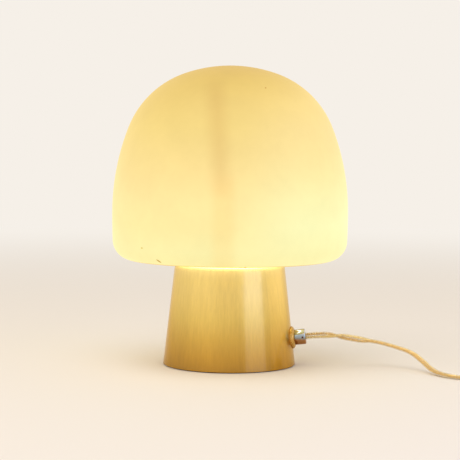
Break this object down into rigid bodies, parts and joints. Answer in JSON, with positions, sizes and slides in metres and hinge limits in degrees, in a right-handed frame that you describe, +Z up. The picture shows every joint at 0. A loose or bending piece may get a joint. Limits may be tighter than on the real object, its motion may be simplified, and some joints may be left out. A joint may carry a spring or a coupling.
{
  "type": "table lamp",
  "caption": "Mushroom table lamp: a rounded alabaster shade lifts off a tapered brushed brass base; clear flex with inline switch and plug.",
  "frame": {"origin": "middle of the base's underside, on the table", "axes": "+Z up, +X towards the cord grip"},
  "size_m": [0.5806, 0.26, 0.33],
  "materials": {
    "alabaster": "satin, lit from inside",
    "clear_silicone": "satin",
    "brushed_brass": "brushed around the cone, lacquered",
    "satin_brass": "satin",
    "polished_chrome": "polished",
    "black_painted_steel": "matt",
    "zinc_steel": "zinc plated",
    "cast_iron": "as cast",
    "felt": "wool felt",
    "holder_black": "moulded",
    "steatite": "unglazed",
    "contact_brass": "bright",
    "bulb_glass": "clear",
    "led_filament": "coated, lit",
    "nickel_cap": "nickel plated",
    "black_glass": "gloss",
    "dark_screw": "stained",
    "clear_flex": "clear PVC over tinned copper",
    "nylon": "moulded",
    "live_insulation": "gloss",
    "neutral_insulation": "gloss",
    "hook_tape": "woven",
    "clear_moulding": "clear moulded",
    "nickel_pin": "nickel plated",
    "black_sleeve": "moulded"
  },
  "bodies": {
    "base": {"ballast": "cast_iron", "base_shell": "brushed_brass", "bottom_cover": "black_painted_steel", "clamp_bar": "nylon", "clamp_base": "nylon", "clamp_screws": "zinc_steel", "coil_tie": "hook_tape", "cover_screws": "zinc_steel", "felt_pad": "felt", "flex_coil": "clear_flex", "flex_lead": "clear_flex", "flex_link": "clear_flex", "flex_tail": "clear_flex", "gallery_nut": "zinc_steel", "gallery_ring": "satin_brass", "grip_barrel": "polished_chrome", "grip_bush": "clear_silicone", "grip_nut": "zinc_steel", "grip_rosette": "satin_brass", "grip_screw": "dark_screw", "grip_stem": "zinc_steel", "grip_washer": "zinc_steel", "holder_cap": "holder_black", "holder_grub_screw": "zinc_steel", "holder_insulator": "steatite", "holder_shell": "contact_brass", "holder_skirt": "holder_black", "holder_terminals": "contact_brass", "holder_tongue": "contact_brass", "inner_flex": "clear_flex", "live_wire": "live_insulation", "lower_nut": "zinc_steel", "lower_washer": "zinc_steel", "neutral_wire": "neutral_insulation", "plug_body": "clear_moulding", "plug_boot": "clear_moulding", "plug_flex": "clear_flex", "plug_pins": "nickel_pin", "plug_sleeves": "black_sleeve", "seat_ring": "clear_silicone", "switch_contacts": "contact_brass", "switch_lower": "clear_moulding", "switch_screws": "zinc_steel", "switch_upper": "clear_moulding", "terminal_screws": "zinc_steel", "tie_tube": "zinc_steel", "upper_nut": "zinc_steel", "upper_washer": "zinc_steel"},
    "shade": {"shade": "alabaster"},
    "bulb_foot": {"bulb_contact": "contact_brass"},
    "bulb": {"bulb_globe": "bulb_glass", "bulb_stem": "bulb_glass", "bulb_filaments": "led_filament", "bulb_cap": "nickel_cap", "bulb_insulator": "black_glass"},
    "rocker": {"switch_rocker": "clear_moulding", "switch_blade": "contact_brass"}
  },
  "joints": [
    {"name": "shade_lift", "type": "slide", "parent": "base", "child": "shade", "axis": [0, 0, 1], "range_m": [0, 0.16]},
    {"name": "bulb_rise", "type": "slide", "parent": "base", "child": "bulb_foot", "axis": [0, 0, 1], "range_m": [0, 0.018]},
    {"name": "bulb_turn", "type": "hinge", "parent": "bulb_foot", "child": "bulb", "pos_m": [0, 0, 0.16], "axis": [0, 0, 1], "range_deg": [0, 1790]},
    {"name": "rocker_tilt", "type": "hinge", "parent": "base", "child": "rocker", "pos_m": [0.3633, -0.0685, 0.0132], "axis": [-0.0958, 0.9954, 0], "range_deg": [-18, 0]}
  ],
  "couplings": [
    {"joint": "bulb_turn", "follows": "bulb_rise", "rad_per_m": 1731.4}
  ]
}
